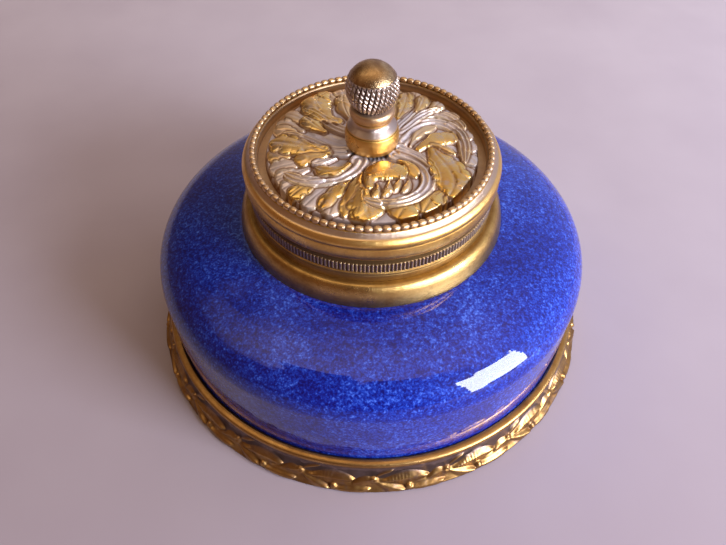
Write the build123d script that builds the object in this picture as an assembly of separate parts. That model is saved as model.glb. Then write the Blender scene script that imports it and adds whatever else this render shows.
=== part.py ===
from build123d import *
import math
import os

# Desk inkwell: a glazed ceramic bowl clamped between a gilt brass foot ring and a
# gilt brass collar, with a lift-out glass ink cup and a lift-off cast brass lid.
# Millimetres. +Z is up, and the origin is the centre of the underside.

# ---------------------------------------------------------------- driving sizes
FOOT_R = 62.5            # widest point of the laurel band
BODY_R = 58.0            # widest point of the ceramic body
MOUTH_R = 29.5           # opening in the top of the ceramic body
COLLAR_R = 31.2          # outside of the collar where the lid sits on it
LID_R = 32.1             # widest point of the lid's rounded rim
CUP_R = 25.6             # outside of the ink cup's straight wall
ROD_R = 3.0              # long tie rod that clamps body, foot and collar
STUD_R = 2.0             # stud that holds the knob to the lid

PAD_TOP = 0.8            # the felt pad's top, where the metal starts
LEDGE_BOTTOM = 3.8       # underside of the foot ring's inner ledge
BODY_FOOT_Z = 5.0        # the ceramic body stands on the ledge here
BODY_SEAT_Z = 40.8       # flat seat round the ceramic mouth
FLANGE_Z = 41.2          # underside of the collar flange, on its gasket
COLLAR_Z = 46.4          # the collar's neck starts here
SEAM_Z = 53.7            # the lid meets the collar here
CHANNEL_Z = 58.5         # floor of the sunk channel round the lid's casting
DOME_Z = 62.7            # top of the lid's casting, under the knob
CUPULE_Z = 73.3          # the knob's scaly acorn cup starts here
NUT_Z = 81.3             # top of the cup, where the smooth acorn comes out of it
TOP_Z = 84.4             # tip of the knob

# ---------------------------------------------------------------- fits and walls
FIT_GAP = 0.15           # bedded joints between metal and ceramic
LIFT_GAP = 0.3           # radial room round the pieces that lift out
ROD_GAP = 0.25           # radial room round rods and studs in their holes
LEDGE_R = 50.0           # inner edge of the foot ring's ledge
RECESS_R = 55.2          # bore of the foot ring under the ledge
CAN_R = 27.4             # outside of the brass well
CAN_WALL = 0.8
CAN_FLOOR_Z = 17.0
CAN_FLOOR = 1.2
NECK_BORE_R = 29.1       # bore of the collar's neck
CUP_LEDGE_Z = 47.2       # the ink cup's flange hangs on this ledge
CUP_FLOOR_Z = 22.0
CUP_FLANGE = 2.0
CUP_WALL = 2.6
SLEEVE_R = NECK_BORE_R - LIFT_GAP
SLEEVE_WALL = 0.8
SLEEVE_LOW_Z = 49.6
STUD_LOW = 55.4          # the knob's stud, below its nut and inside the acorn
STUD_TOP = 81.4
SOCKET_Z = 77.2          # the acorn's shank stands on this floor inside the cup
SOCKET_R = 4.6
ACORN_R = 6.3            # the cup and the acorn share one nearly round outline
SHELF_Z = 57.3           # underside of the shelf inside the lid's rim
SHELF_R = 22.5           # inner edge of that shelf
CASTING_R = 26.3         # edge of the lid's relief casting
LIP_R = 28.3             # inner wall of the raised lip round the channel
LIP_Z = 60.9
BEAD_R = 0.9
MILL_LOW_Z = 49.3        # proud band on the collar that carries fine milling
MILL_HIGH_Z = 52.0
LAUREL_UNITS = 20        # leaf-and-berry units round the foot


def turned(*edges):
    """A solid turned about Z from a closed outline of radius and height."""
    return revolve(Plane.XZ * make_face(Curve() + list(edges)), Axis.Z)


def lathe(*points):
    """A turned solid whose outline is straight between (radius, height) points."""
    return turned(Polyline(*points, close=True))


def tube(inner, outer, low, high):
    return lathe((inner, low), (outer, low), (outer, high), (inner, high))


def hex_nut(bore, across_flats, low, high):
    """A hexagon nut with its corners turned off, bored for its rod."""
    corner_r = across_flats / math.sqrt(3)
    blank = Pos(0, 0, low) * extrude(RegularPolygon(corner_r, 6), high - low)
    corner_drop = 0.12 * (high - low)
    envelope = lathe(
        (bore, low), (0.9 * corner_r, low), (corner_r, low + corner_drop),
        (corner_r, high - corner_drop), (0.9 * corner_r, high), (bore, high))
    return blank & envelope


# ---------------------------------------------------------------- foot
def felt_pad():
    return Cylinder(FOOT_R - 1.5, PAD_TOP, align=(Align.CENTER, Align.CENTER, Align.MIN))


def base_plate():
    """Dished plate that pulls the foot ring's ledge up against the ceramic foot."""
    rim_low = LEDGE_BOTTOM - 2.0
    return lathe(
        (RECESS_R - FIT_GAP, rim_low), (RECESS_R - FIT_GAP, LEDGE_BOTTOM), (44, LEDGE_BOTTOM),
        (24, 10.2), (ROD_R + ROD_GAP, 10.2), (ROD_R + ROD_GAP, 8.2), (23.4, 8.2), (43.4, rim_low))


def base_ring():
    """Cast foot ring: ledge inside, seat for the laurel band, half-round on top."""
    bore = BODY_R - 1.05
    section = Polyline(
        (bore, 9.35), (bore, BODY_FOOT_Z), (LEDGE_R, BODY_FOOT_Z), (LEDGE_R, LEDGE_BOTTOM),
        (RECESS_R, LEDGE_BOTTOM), (RECESS_R, PAD_TOP), (FOOT_R - 1.6, PAD_TOP), (58.4, 7.7),
        (59.4, 7.9))
    half_round = ThreePointArc((59.4, 7.9), (59.0, 9.3), (57.6, 9.75))
    lip = Line((57.6, 9.75), (bore, 9.35))
    return turned(section, half_round, lip)


def laurel_band():
    """Leaf garland strip soldered round the foot: leaves and berries on a sloped band."""
    seat_low = (FOOT_R - 1.6, PAD_TOP)
    seat_high = (58.4, 7.7)
    face_low = (FOOT_R, PAD_TOP + 0.8)
    face_high = (59.35, 7.75)
    rim = Polyline(face_high, seat_high, seat_low, (FOOT_R, PAD_TOP), face_low)
    band = turned(rim, ThreePointArc(face_low, (61.1, 4.6), face_high))
    lean = math.degrees(math.atan2(FOOT_R - 59.35, 7.0))
    leaf = Pos(60.8, 0, 4.6) * Rot(0, -lean, 0) * scale(Sphere(1), by=(0.9, 5.4, 2.4))
    berry = Pos(60.9, 0, 5.0) * Sphere(1.1)
    pitch = 360 / LAUREL_UNITS
    for unit in range(LAUREL_UNITS):
        band += Rot(0, 0, unit * pitch) * leaf
        band += Rot(0, 0, (unit + 0.5) * pitch) * berry
    return band


# ---------------------------------------------------------------- ceramic body
def ceramic_body():
    """Hollow bowl: near-upright wall, full round shoulder, gently sloping top."""
    foot_r = BODY_R - 1.2
    outside = [
        Line((LEDGE_R + 0.5, BODY_FOOT_Z), (foot_r, BODY_FOOT_Z)),
        Line((foot_r, BODY_FOOT_Z), (BODY_R - 1.1, 9.4)),
        ThreePointArc((BODY_R - 1.1, 9.4), (BODY_R - 0.3, 19.5), (BODY_R, 28.7)),
        Spline(
            (BODY_R, 28.7), (56.1, 33.4), (51.2, 37.0), (44.5, 39.15), (34.9, BODY_SEAT_Z),
            tangents=((0, 1), (-1, 0.13))),
    ]
    inside = Polyline(
        (34.9, BODY_SEAT_Z), (MOUTH_R, BODY_SEAT_Z), (MOUTH_R, 36.8), (48.5, 33.6), (52.4, 29.5),
        (51.6, 19.0), (48.0, 16.0), (ROD_R + 1.5, 16.0), (ROD_R + 1.5, 11.0), (46.5, 11.0),
        (LEDGE_R + 0.5, BODY_FOOT_Z))
    return turned(*outside, inside)


def collar_gasket():
    """Thin cork washer between the ceramic mouth and the collar."""
    return tube(MOUTH_R + 0.6, 34.3, BODY_SEAT_Z, FLANGE_Z)


# ---------------------------------------------------------------- collar and well
def collar_flange():
    """Foot of the collar: a thin step, then a full round up to the neck."""
    spigot_r = MOUTH_R - 0.2
    step_top = (34.3, FLANGE_Z + 1.9)
    neck_foot = (COLLAR_R + 0.1, COLLAR_Z)
    outline = Polyline(
        neck_foot, (CAN_R, COLLAR_Z), (CAN_R, 38.0), (spigot_r, 38.0), (spigot_r, FLANGE_Z),
        (34.9, FLANGE_Z), (34.9, FLANGE_Z + 1.2), step_top)
    return turned(outline, ThreePointArc(step_top, (33.3, 45.2), neck_foot))


def collar_ring():
    """Neck of the collar, with a proud band outside and the cup's ledge inside."""
    plain_r = COLLAR_R - 0.2
    return lathe(
        (CAN_R - CAN_WALL, COLLAR_Z), (plain_r, COLLAR_Z), (plain_r, MILL_LOW_Z),
        (COLLAR_R, MILL_LOW_Z), (COLLAR_R, MILL_HIGH_Z), (plain_r, MILL_HIGH_Z),
        (plain_r, SEAM_Z), (NECK_BORE_R, SEAM_Z), (NECK_BORE_R, CUP_LEDGE_Z),
        (CAN_R - CAN_WALL, CUP_LEDGE_Z))


def well_can():
    """Thin brass well soldered into the collar; the tie rod's head pulls on its floor."""
    inner = CAN_R - CAN_WALL
    inside_floor = CAN_FLOOR_Z + CAN_FLOOR
    hole = ROD_R + ROD_GAP
    return lathe(
        (hole, CAN_FLOOR_Z), (CAN_R, CAN_FLOOR_Z), (CAN_R, COLLAR_Z), (inner, COLLAR_Z),
        (inner, inside_floor), (hole, inside_floor))


def tie_rod():
    """Rod with a flat head that clamps well, collar, body and foot together."""
    head_low = CAN_FLOOR_Z + CAN_FLOOR
    head_high = head_low + 2.2
    return lathe(
        (0, 1.6), (ROD_R - 0.4, 1.6), (ROD_R, 2.0), (ROD_R, head_low), (6.0, head_low),
        (6.0, head_high - 0.5), (5.5, head_high), (0, head_high))


def rod_washer():
    return tube(ROD_R + ROD_GAP, 7.0, 7.0, 8.2)


def rod_nut():
    return hex_nut(ROD_R, 10.0, 2.2, 7.0)


# ---------------------------------------------------------------- ink cup
def ink_cup():
    """Straight glass cup that hangs by its flange on the ledge in the collar."""
    flange_r = NECK_BORE_R - 0.9
    flange_top = CUP_LEDGE_Z + CUP_FLANGE
    bore = CUP_R - CUP_WALL
    floor = CUP_FLOOR_Z + 3.2
    return lathe(
        (0, CUP_FLOOR_Z), (CUP_R - 2.0, CUP_FLOOR_Z), (CUP_R, CUP_FLOOR_Z + 2.0),
        (CUP_R, CUP_LEDGE_Z), (flange_r, CUP_LEDGE_Z), (flange_r, flange_top - 0.5),
        (flange_r - 0.5, flange_top), (bore + 0.5, flange_top), (bore, flange_top - 0.5),
        (bore, floor + 2.5), (bore - 2.5, floor), (0, floor))


# ---------------------------------------------------------------- lid
def lid_rim():
    """Rim of the lid: two rounds with a groove between, a shelf inside and a lip on top."""
    seat_r = COLLAR_R - 0.2
    low_edge = (31.5, SEAM_Z + 0.5)
    groove = (31.3, 57.6)
    round_low = (31.7, 57.8)
    round_high = (31.6, 60.2)
    low_round = ThreePointArc(low_edge, (31.95, 55.7), (31.8, 57.3))
    high_round = ThreePointArc(round_low, (LID_R, 58.9), round_high)
    inside = Polyline(
        round_high, (LIP_R + 2 * BEAD_R, LIP_Z), (LIP_R, LIP_Z), (LIP_R, CHANNEL_Z),
        (SHELF_R, CHANNEL_Z), (SHELF_R, SHELF_Z), (SLEEVE_R, SHELF_Z), (SLEEVE_R, SEAM_Z),
        (seat_r, SEAM_Z), low_edge)
    return turned(low_round, Polyline((31.8, 57.3), groove, round_low), high_round, inside)


def lid_sleeve():
    """Sleeve inside the lid that drops into the collar's neck and centres the lid."""
    return tube(SLEEVE_R - SLEEVE_WALL, SLEEVE_R, SLEEVE_LOW_Z, SHELF_Z)


def bead_ring():
    """Beaded wire soldered on the lip: a half-round bar that carries the row of beads."""
    inner = (LIP_R, LIP_Z)
    outer = (LIP_R + 2 * BEAD_R, LIP_Z)
    crown = (LIP_R + BEAD_R, LIP_Z + 1.65)
    return turned(Line(inner, outer), ThreePointArc(outer, crown, inner))


def lid_dome():
    """Cast relief disc that fills the lid, bedded on the shelf in the rim."""
    hole = STUD_R + ROD_GAP
    crown = (8.0, DOME_Z)
    edge = (CASTING_R, CHANNEL_Z + 1.2)
    outline = Polyline(
        crown, (hole, DOME_Z), (hole, DOME_Z - 1.7), (8.0, DOME_Z - 1.7),
        (SHELF_R - 0.5, CHANNEL_Z), (CASTING_R, CHANNEL_Z), edge)
    return turned(outline, ThreePointArc(edge, (21.5, 61.4), crown))


# ---------------------------------------------------------------- knob
def knob_base():
    """Barrel, flared stem and neck ring at the foot of the knob."""
    hole = STUD_R + ROD_GAP
    barrel_low = (6.3, DOME_Z)
    barrel_high = (6.25, DOME_Z + 4.5)
    flare_low = (6.15, DOME_Z + 5.0)
    stem = (4.5, DOME_Z + 7.7)
    ring_low = (5.05, DOME_Z + 8.4)
    ring_high = (5.05, CUPULE_Z - 0.3)
    bore = Polyline(
        ring_high, (4.2, CUPULE_Z), (hole, CUPULE_Z), (hole, DOME_Z), barrel_low)
    barrel = ThreePointArc(barrel_low, (6.55, DOME_Z + 2.3), barrel_high)
    groove = Polyline(barrel_high, (5.95, DOME_Z + 4.75), flare_low)
    flare = ThreePointArc(flare_low, (4.95, DOME_Z + 6.2), stem)
    neck_ring = ThreePointArc(ring_low, (5.25, DOME_Z + 9.35), ring_high)
    return turned(bore, barrel, groove, flare, Line(stem, ring_low), neck_ring)


def acorn_cup():
    """Scaly cup of the acorn, with a socket for the acorn's shank."""
    hole = STUD_R + ROD_GAP
    low = (4.2, CUPULE_Z)
    high = (5.4, NUT_Z)
    outline = Polyline(
        high, (SOCKET_R, NUT_Z), (SOCKET_R, SOCKET_Z), (hole, SOCKET_Z), (hole, CUPULE_Z), low)
    return turned(outline, Spline(low, (5.75, 75.5), (ACORN_R, 78.1), high))


def acorn_nut():
    """Smooth top of the acorn; its shank screws on to the stud inside the cup."""
    shell = Spline(
        (5.3, NUT_Z), (4.35, 82.7), (2.5, 84.0), (0, TOP_Z), tangents=((-0.5, 1), (-1, 0)))
    outline = Polyline(
        (0, TOP_Z), (0, STUD_TOP), (STUD_R, STUD_TOP), (STUD_R, SOCKET_Z), (SOCKET_R, SOCKET_Z),
        (SOCKET_R, NUT_Z), (5.3, NUT_Z))
    return turned(shell, outline)


def knob_stud():
    length = STUD_TOP - STUD_LOW
    return Pos(0, 0, STUD_LOW + length / 2) * Cylinder(STUD_R, length)


def knob_washer():
    top = DOME_Z - 1.7
    return tube(STUD_R + ROD_GAP, 5.0, top - 1.0, top)


def knob_nut():
    top = DOME_Z - 2.7
    return hex_nut(STUD_R, 7.0, top - 3.4, top)


PIECES = [
    felt_pad, base_plate, base_ring, laurel_band, ceramic_body, collar_gasket, collar_flange,
    collar_ring, well_can, tie_rod, rod_washer, rod_nut, ink_cup, lid_rim, lid_sleeve,
    bead_ring, lid_dome, knob_base, acorn_cup, acorn_nut, knob_stud, knob_washer, knob_nut,
]

os.makedirs("parts", exist_ok=True)
for piece in PIECES:
    export_step(piece(), f"parts/{piece.__name__}.step")
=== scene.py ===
import math

import bpy
import numpy as np
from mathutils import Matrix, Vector


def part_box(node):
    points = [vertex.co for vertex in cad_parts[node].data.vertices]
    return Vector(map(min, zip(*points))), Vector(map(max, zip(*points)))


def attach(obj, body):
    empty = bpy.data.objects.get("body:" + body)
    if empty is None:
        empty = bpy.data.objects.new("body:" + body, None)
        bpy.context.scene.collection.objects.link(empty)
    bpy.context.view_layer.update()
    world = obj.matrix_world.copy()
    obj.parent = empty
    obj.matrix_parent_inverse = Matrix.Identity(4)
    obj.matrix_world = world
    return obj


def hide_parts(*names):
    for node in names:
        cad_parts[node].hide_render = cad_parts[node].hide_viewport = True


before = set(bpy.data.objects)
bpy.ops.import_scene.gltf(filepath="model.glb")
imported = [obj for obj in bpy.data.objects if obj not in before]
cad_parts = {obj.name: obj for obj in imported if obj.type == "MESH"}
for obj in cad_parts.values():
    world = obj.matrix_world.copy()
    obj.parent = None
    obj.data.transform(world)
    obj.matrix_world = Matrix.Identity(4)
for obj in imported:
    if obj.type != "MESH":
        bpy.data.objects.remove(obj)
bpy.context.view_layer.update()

# Lengths in this script are millimetres, and every mesh is written in metres.
MM = 0.001
TAU = 2 * math.pi

# ---------------------------------------------------------------- repeats and grids
LAUREL_UNITS = 20
LAUREL_UNIT_SEGMENTS = 72
LAUREL_ROWS = 44
BEADS = 92
BEAD_SEGMENTS = 14
BEAD_ROWS = 20
MILLED_RIBS = 210
RIB_SEGMENTS = 6
GLAZE_SEGMENTS = 480
SMOOTH_SEGMENTS = 360
KNOB_SEGMENTS = 180
SCALE_SEGMENTS = 840
SCALE_ROWS = 64
DISC_SEGMENTS = 1260
DISC_ROWS = 200
SEED = 7

# How close an outline's points are.
SIDE_SHARE = 0.49  # the most of a side that one corner's rounding may take
SHARP = 0.02  # a smaller rounding is left out
SHORT_RUN = 0.3  # a shorter run gets no points along it
CRISP_EDGE = 0.12  # the furthest that a run's first point may be from its corner


def z_low(node):
    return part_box(node)[0].z / MM


def z_high(node):
    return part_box(node)[1].z / MM


def radius(node):
    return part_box(node)[1].x / MM


# ---------------------------------------------------------------- outlines
def curve_point(start, control, end, t):
    """The point at share t of the curve that leaves start and reaches end towards control."""
    return (1 - t) ** 2 * start + 2 * t * (1 - t) * control + t * t * end


def rounded(corners, spacing=1.0, arc_step=12.0):
    """A closed outline from (radius, height, rounding) corners, with each corner turned
    into a curve that starts and ends its rounding away from the corner."""
    count = len(corners)
    points = []
    for index in range(count):
        before = np.array(corners[index - 1][:2], float)
        here = np.array(corners[index][:2], float)
        after = np.array(corners[(index + 1) % count][:2], float)
        rounding = corners[index][2] if len(corners[index]) > 2 else 0.0
        back, ahead = before - here, after - here
        back_length, ahead_length = np.hypot(*back), np.hypot(*ahead)
        reach = min(rounding, SIDE_SHARE * back_length, SIDE_SHARE * ahead_length)
        if reach < SHARP:
            points.append(here)
            continue
        start = here + back / back_length * reach
        end = here + ahead / ahead_length * reach
        cosine = np.clip(np.dot(back, ahead) / back_length / ahead_length, -1, 1)
        turn = 180 - math.degrees(math.acos(cosine))
        steps = max(3, int(turn / arc_step) + 2)
        points += [curve_point(start, here, end, t) for t in np.linspace(0, 1, steps)]
    return spaced(points, spacing)


def bow(start, middle, end, steps=9):
    """Points on the smooth curve from start through middle to end, for use as corners."""
    start, middle, end = (np.array(p, float) for p in (start, middle, end))
    control = 2 * middle - (start + end) / 2
    return [tuple(curve_point(start, control, end, t)) for t in np.linspace(0, 1, steps)]


def spaced(points, spacing):
    """Adds points along the straight runs of a closed outline, with one close to each end of a
    run, so that the corners stay crisp."""
    dense = []
    for index, here in enumerate(points):
        after = points[(index + 1) % len(points)]
        length = np.hypot(*(after - here))
        dense.append(here)
        if length > SHORT_RUN:
            near = min(CRISP_EDGE, 0.3 * length) / length
            inner = max(1, int(round(length / spacing)))
            shares = [near, *np.linspace(0, 1, inner + 1)[1:-1], 1 - near]
            dense += [here + (after - here) * t for t in sorted(shares)]
    return np.array(dense)


def normals(outline):
    """Outward unit normals of a closed outline that runs anticlockwise (radius right, height up)."""
    along = np.roll(outline, -1, 0) - np.roll(outline, 1, 0)
    along /= np.maximum(np.hypot(*along.T), 1e-9)[:, None]
    return np.stack([along[:, 1], -along[:, 0]], -1)


# ---------------------------------------------------------------- meshes
def grid_object(name, points, close_ends, **marks):
    """A closed mesh from a grid of points, outline by angle. close_ends is True where the
    outline starts and ends on the axis, and False where the outline is a loop. Each mark is
    kept from 0 to 1 for the material to read: a grid, or one value for each outline point."""
    rows, columns = points.shape[:2]
    index = np.arange(rows * columns).reshape(rows, columns)
    following = np.roll(index, -1, 1)
    if close_ends:
        low, high = index[:-1], index[1:]
        next_low, next_high = following[:-1], following[1:]
    else:
        low, high = index, np.roll(index, -1, 0)
        next_low, next_high = following, np.roll(following, -1, 0)
    quads = np.stack([low, next_low, next_high, high], -1).reshape(-1, 4)
    vertices = points.reshape(-1, 3)
    loops = quads.reshape(-1)
    sizes = np.full(len(quads), 4)
    if close_ends:
        first, last = len(vertices), len(vertices) + 1
        ends = np.stack([points[0].mean(0), points[-1].mean(0)])
        vertices = np.concatenate([vertices, ends])
        fan_low = np.stack([index[0], np.full(columns, first), following[0]], -1)
        fan_high = np.stack([index[-1], following[-1], np.full(columns, last)], -1)
        loops = np.concatenate([loops, fan_low.reshape(-1), fan_high.reshape(-1)])
        sizes = np.concatenate([sizes, np.full(2 * columns, 3)])
    mesh = bpy.data.meshes.new(name)
    mesh.vertices.add(len(vertices))
    mesh.vertices.foreach_set("co", (vertices * MM).astype(np.float32).reshape(-1))
    mesh.loops.add(len(loops))
    mesh.loops.foreach_set("vertex_index", loops.astype(np.int32))
    mesh.polygons.add(len(sizes))
    starts = np.concatenate([[0], np.cumsum(sizes)[:-1]])
    mesh.polygons.foreach_set("loop_start", starts.astype(np.int32))
    mesh.polygons.foreach_set("use_smooth", np.ones(len(sizes), bool))
    mesh.update(calc_edges=True)
    for key, values in marks.items():
        values = values[:, None] if values.ndim == 1 else values
        flat = np.clip(np.broadcast_to(values, (rows, columns)), 0, 1).reshape(-1)
        if close_ends:
            flat = np.concatenate([flat, [flat[0], flat[-1]]])
        layer = mesh.attributes.new(key, "FLOAT", "POINT")
        layer.data.foreach_set("value", flat.astype(np.float32))
    mesh.validate()
    piece = bpy.data.objects.new(name, mesh)
    bpy.context.scene.collection.objects.link(piece)
    return piece


def turned(name, outline, segments=SMOOTH_SEGMENTS, lift=None, solid=False, **marks):
    """Turns an outline about Z. lift is a grid, outline by angle, of how far each point
    stands proud along the outline's normal. solid is for an outline that starts and ends on
    the axis."""
    angle = np.arange(segments) * TAU / segments
    across = normals(outline)
    lift = np.zeros((len(outline), segments)) if lift is None else lift
    r = outline[:, :1] + across[:, :1] * lift
    z = outline[:, 1:] + across[:, 1:] * lift
    if solid:
        r = np.maximum(r, 1e-4)
    points = np.stack([r * np.cos(angle), r * np.sin(angle), z + 0 * angle], -1)
    return grid_object(name, points, solid, **marks)


def finish_piece(piece, body, node, material):
    piece.data.materials.append(material)
    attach(piece, body)
    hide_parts(node)


def smooth_step(low, high, value):
    t = np.clip((value - low) / (high - low), 0, 1)
    return t * t * (3 - 2 * t)


def ridge(middle, width, value):
    """1 at the middle, falling off smoothly on both sides."""
    return np.exp(-((value - middle) / width) ** 2)


def first_rows(values, outline):
    """A grid of values for an outline's first points, with 0 for the rest."""
    return np.concatenate([values, np.zeros((len(outline) - len(values), values.shape[1]))])


def blurred(field, times, stride=1):
    """A height field softened by its neighbours; columns run round the axis and wrap."""
    for _ in range(times):
        field = (np.roll(field, stride, 1) + 2 * field + np.roll(field, -stride, 1)) / 4
        padded = np.concatenate([field[:1]] * stride + [field] + [field[-1:]] * stride)
        field = (padded[:-2 * stride] + 2 * padded[stride:-stride] + padded[2 * stride:]) / 4
    return field


# ---------------------------------------------------------------- materials
class Nodes:
    """Short names for building the nodes of a material, or of another owner such as a world."""

    def __init__(self, owner, shader="Principled BSDF"):
        self.owner = bpy.data.materials.new(owner) if isinstance(owner, str) else owner
        self.owner.use_nodes = True
        self.tree = self.owner.node_tree
        self.shader = self.tree.nodes[shader]

    def add(self, kind, **settings):
        node = self.tree.nodes.new(kind)
        for key, value in settings.items():
            setattr(node, key, value)
        return node

    def link(self, source, target):
        self.tree.links.new(source, target)

    def place(self):
        """Position on the piece, in metres."""
        return self.add("ShaderNodeTexCoord").outputs["Object"]

    def split(self, vector):
        node = self.add("ShaderNodeSeparateXYZ")
        self.link(vector, node.inputs[0])
        return node.outputs

    def round_place(self, around):
        """A place that changes by around from side to side of the piece, and by a metre for
        each metre outwards or up, so that noise on it marks turned metal along its turning."""
        x, y, z = self.split(self.place())
        squares = [self.math("MULTIPLY", axis, axis) for axis in (x, y)]
        distance = self.math("SQRT", self.math("ADD", *squares))
        safe_distance = self.math("ADD", distance, 1e-5)
        join = self.add("ShaderNodeCombineXYZ")
        for axis, socket in zip((x, y), join.inputs):
            self.link(self.math("MULTIPLY", self.math("DIVIDE", axis, safe_distance), around), socket)
        self.link(self.math("ADD", distance, z), join.inputs[2])
        return join.outputs[0]

    def math(self, operation, first, second=0.0, clamp=False):
        node = self.add("ShaderNodeMath", operation=operation, use_clamp=clamp)
        for socket, value in zip(node.inputs, (first, second)):
            if isinstance(value, (int, float)):
                socket.default_value = value
            else:
                self.link(value, socket)
        return node.outputs[0]

    def noise(self, vector, scale, detail=4.0, roughness=0.55, distortion=0.0):
        node = self.add("ShaderNodeTexNoise")
        node.inputs["Scale"].default_value = scale
        node.inputs["Detail"].default_value = detail
        node.inputs["Roughness"].default_value = roughness
        node.inputs["Distortion"].default_value = distortion
        self.link(vector, node.inputs["Vector"])
        return node.outputs["Fac"]

    def cells(self, vector, scale):
        node = self.add("ShaderNodeTexVoronoi")
        node.inputs["Scale"].default_value = scale
        self.link(vector, node.inputs["Vector"])
        return node.outputs["Distance"]

    def ramp(self, value, *stops):
        """A colour ramp of (position, (red, green, blue)) stops."""
        node = self.add("ShaderNodeValToRGB")
        elements = node.color_ramp.elements
        while len(elements) < len(stops):
            elements.new(0.5)
        for element, (position, colour) in zip(elements, stops):
            element.position = position
            element.color = (*colour, 1)
        self.link(value, node.inputs[0])
        return node.outputs[0]

    def mapped(self, value, low, high, to_low, to_high):
        node = self.add("ShaderNodeMapRange")
        settings = (low, high, to_low, to_high)
        for socket, number in zip(node.inputs[1:5], settings):
            socket.default_value = number
        self.link(value, node.inputs[0])
        return node.outputs[0]

    def mix(self, share, first, second):
        node = self.add("ShaderNodeMix", data_type="RGBA")
        sockets = (node.inputs[0], node.inputs[6], node.inputs[7])
        for socket, value in zip(sockets, (share, first, second)):
            if isinstance(value, (int, float)):
                socket.default_value = value
            elif isinstance(value, tuple):
                socket.default_value = (*value, 1)
            else:
                self.link(value, socket)
        return node.outputs[2]

    def attribute(self, name):
        return self.add("ShaderNodeAttribute", attribute_name=name).outputs["Fac"]

    def bump(self, height, distance, strength):
        node = self.add("ShaderNodeBump")
        node.inputs["Strength"].default_value = strength
        node.inputs["Distance"].default_value = distance
        self.link(height, node.inputs["Height"])
        return node.outputs[0]

    def set(self, **values):
        for key, value in values.items():
            socket = self.shader.inputs[key.replace("_", " ")]
            if isinstance(value, (int, float, tuple)):
                socket.default_value = value
            else:
                self.link(value, socket)
        return self.owner


def blue_glaze():
    """Powder-blue glaze: cobalt specks under a clear, slightly rippled gloss."""
    n = Nodes("blue_glaze")
    where = n.place()
    specks = n.noise(where, 1900, 2, 0.6)
    clouds = n.noise(where, 900, 3, 0.7)
    patches = n.noise(where, 60, 4, 0.6)
    blend = n.math("ADD", n.math("MULTIPLY", specks, 0.5), n.math("MULTIPLY", clouds, 0.5))
    blend = n.math("ADD", blend, n.math("MULTIPLY", n.math("SUBTRACT", patches, 0.5), 0.28))
    blue = n.ramp(
        blend, (0.38, (0.0, 0.001, 0.11)), (0.47, (0.001, 0.009, 0.22)),
        (0.56, (0.006, 0.036, 0.39)), (0.67, (0.06, 0.15, 0.7)))
    ripple = n.noise(where, 60, 2, 0.4)
    pores = n.noise(where, 500, 2, 0.5)
    level = n.math("ADD", ripple, n.math("MULTIPLY", pores, 0.06))
    glaze_normal = n.bump(level, 0.0004, 0.5)
    return n.set(
        Base_Color=blue, Roughness=0.5, Specular_IOR_Level=0.1, Coat_Weight=1.0,
        Coat_Roughness=0.03, Coat_IOR=1.5, Coat_Normal=glaze_normal)


# Pale lavender of a bloom on the brass, partly a painted reflection of the pale room.
BLOOM_AND_REFLECTION_TONE = (0.56, 0.49, 0.5)


def metal(name, light, middle, dark, roughness, turned_marks=True, stain=0.5, patch_scale=90):
    """Aged brass: tone varies in soft patches with dark stains, painted shade darkens it where
    "shade" is high, "worn" lightens it as wear and as a painted highlight, "film" is a pale bloom
    that is partly a painted reflection of the pale room, and turned pieces carry fine marks along
    the turning."""
    n = Nodes(name)
    where = n.place()
    patches = n.noise(where, patch_scale, 5, 0.6, 0.4)
    fine = n.noise(where, 1400, 3, 0.6)
    tone = n.math("ADD", n.math("MULTIPLY", patches, 0.8), n.math("MULTIPLY", fine, 0.2))
    colour = n.ramp(tone, (0.3, dark), (0.5, middle), (0.68, light))
    stains = n.noise(where, 210, 4, 0.7)
    stain_share = n.mapped(stains, 0.56, 0.75, 0.0, stain)
    colour = n.mix(stain_share, colour, tuple(0.45 * c for c in dark))
    shade = n.attribute("shade")
    # Painted shade: darker towards a deep brown where "shade" is high.
    colour = n.mix(n.math("MULTIPLY", shade, 0.9, clamp=True), colour, tuple(0.22 * c for c in dark))
    # Lighter on rubbed parts, as wear and as a painted highlight.
    colour = n.mix(n.math("MULTIPLY", n.attribute("worn"), 0.7, clamp=True), colour, light)
    # A pale lavender tint: a bloom, partly a painted reflection of the pale room.
    colour = n.mix(n.attribute("film"), colour, BLOOM_AND_REFLECTION_TONE)
    rough = n.mapped(patches, 0.3, 0.7, roughness + 0.08, roughness - 0.06)
    rough = n.math("ADD", rough, n.math("MULTIPLY", shade, 0.3))
    level = n.math("MULTIPLY", fine, 0.5)
    if turned_marks:
        rings = n.noise(n.round_place(0.6), 2600, 2, 0.5)
        level = n.math("ADD", level, n.math("MULTIPLY", rings, 0.8))
    dents = n.noise(where, 160, 3, 0.5)
    level = n.math("ADD", level, n.math("MULTIPLY", dents, 1.4))
    surface = n.bump(level, 0.00004, 0.7)
    return n.set(Base_Color=colour, Metallic=1.0, Roughness=rough, Normal=surface)


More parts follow.
